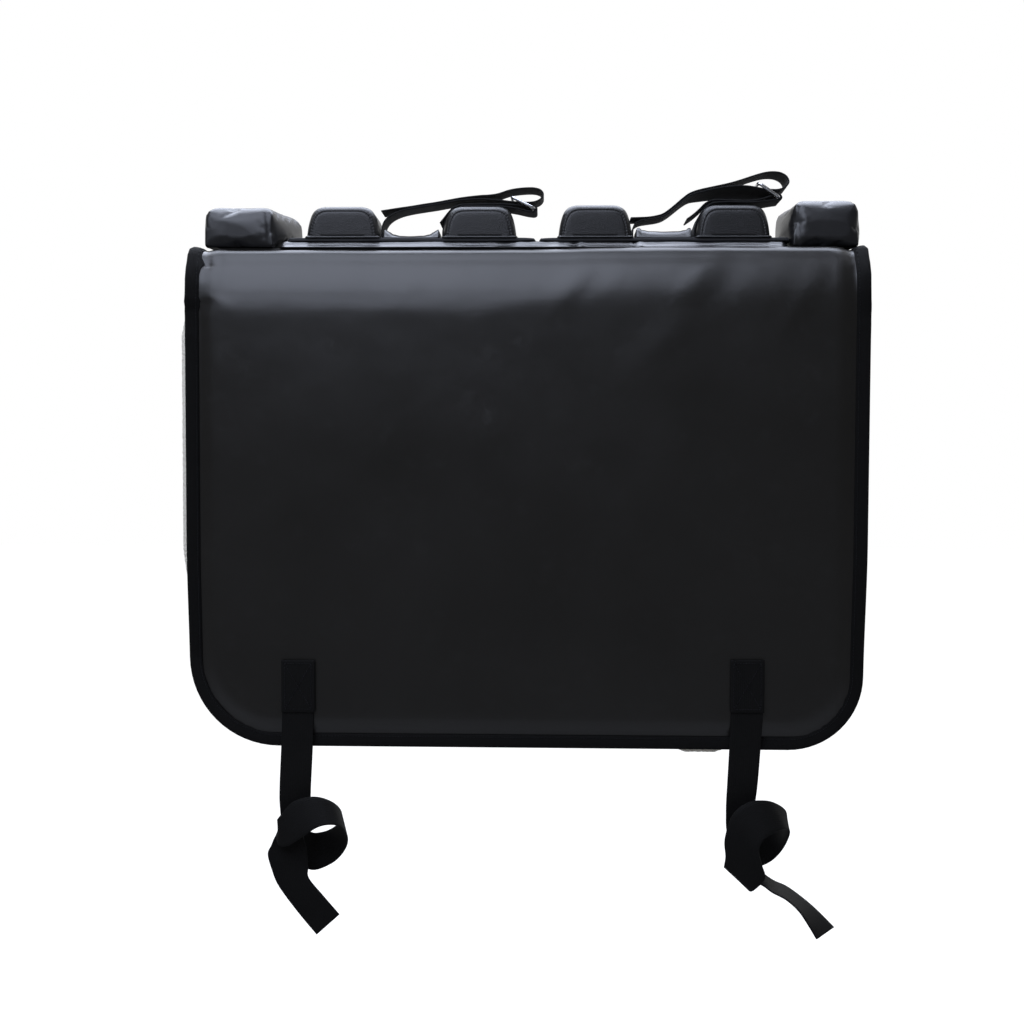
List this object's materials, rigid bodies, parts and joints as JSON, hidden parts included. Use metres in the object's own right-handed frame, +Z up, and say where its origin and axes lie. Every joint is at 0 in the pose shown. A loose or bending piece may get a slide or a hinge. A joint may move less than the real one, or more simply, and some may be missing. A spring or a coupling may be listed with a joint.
{
  "type": "tailgate bike pad",
  "caption": "Padded cover draped over a vehicle tailgate, with cradles between foam blocks for bicycle down tubes, end bolsters and straps below.",
  "frame": {"origin": "on the underside of the deck, where it rests on the tailgate's top edge, midway between the front panel and the inner flap and midway along the width", "axes": "+Z up, -Y out of the long front panel, +Y towards the load bed, +X to the right seen from the front"},
  "size_m": [0.7991, 0.1772, 0.9087],
  "materials": {
    "tarpaulin": "semi-gloss coated weave",
    "foam": "matte open foam",
    "fleece": "short pile",
    "tape": "woven edge tape",
    "base_board": "matte",
    "grained_vinyl": "grained coated fabric",
    "hook_and_loop": "matte pile tape",
    "webbing": "woven polypropylene",
    "steel": "plated wire",
    "buckle_plastic": "moulded"
  },
  "bodies": {
    "root": {"outer_cover": "tarpaulin", "foam_board": "foam", "fleece_lining": "fleece", "edge_tape": "tape", "plinth_cover": "tarpaulin", "plinth_foam": "foam", "cradle_base_left": "base_board", "cradle_base_right": "base_board", "saddle_left": "tarpaulin", "saddle_right": "tarpaulin", "block_cover_left_outer": "grained_vinyl", "block_cover_left_inner": "grained_vinyl", "block_cover_right_inner": "grained_vinyl", "block_cover_right_outer": "grained_vinyl", "block_foam_left_outer": "foam", "block_foam_left_inner": "foam", "block_foam_right_inner": "foam", "block_foam_right_outer": "foam", "bolster_cover_left": "tarpaulin", "bolster_cover_right": "tarpaulin", "bolster_foam_left": "foam", "bolster_foam_right": "foam", "cradle_strap_left": "hook_and_loop", "cradle_strap_right": "hook_and_loop", "ring_strap_left": "hook_and_loop", "ring_strap_right": "hook_and_loop", "strap_ring_left": "steel", "strap_ring_right": "steel", "bottom_strap_left": "webbing", "bottom_strap_right": "webbing", "strap_patch_left": "webbing", "strap_patch_right": "webbing", "buckle_tab_left": "webbing", "buckle_tab_right": "webbing", "ladder_lock_left": "buckle_plastic", "ladder_lock_right": "buckle_plastic"}
  },
  "joints": []
}
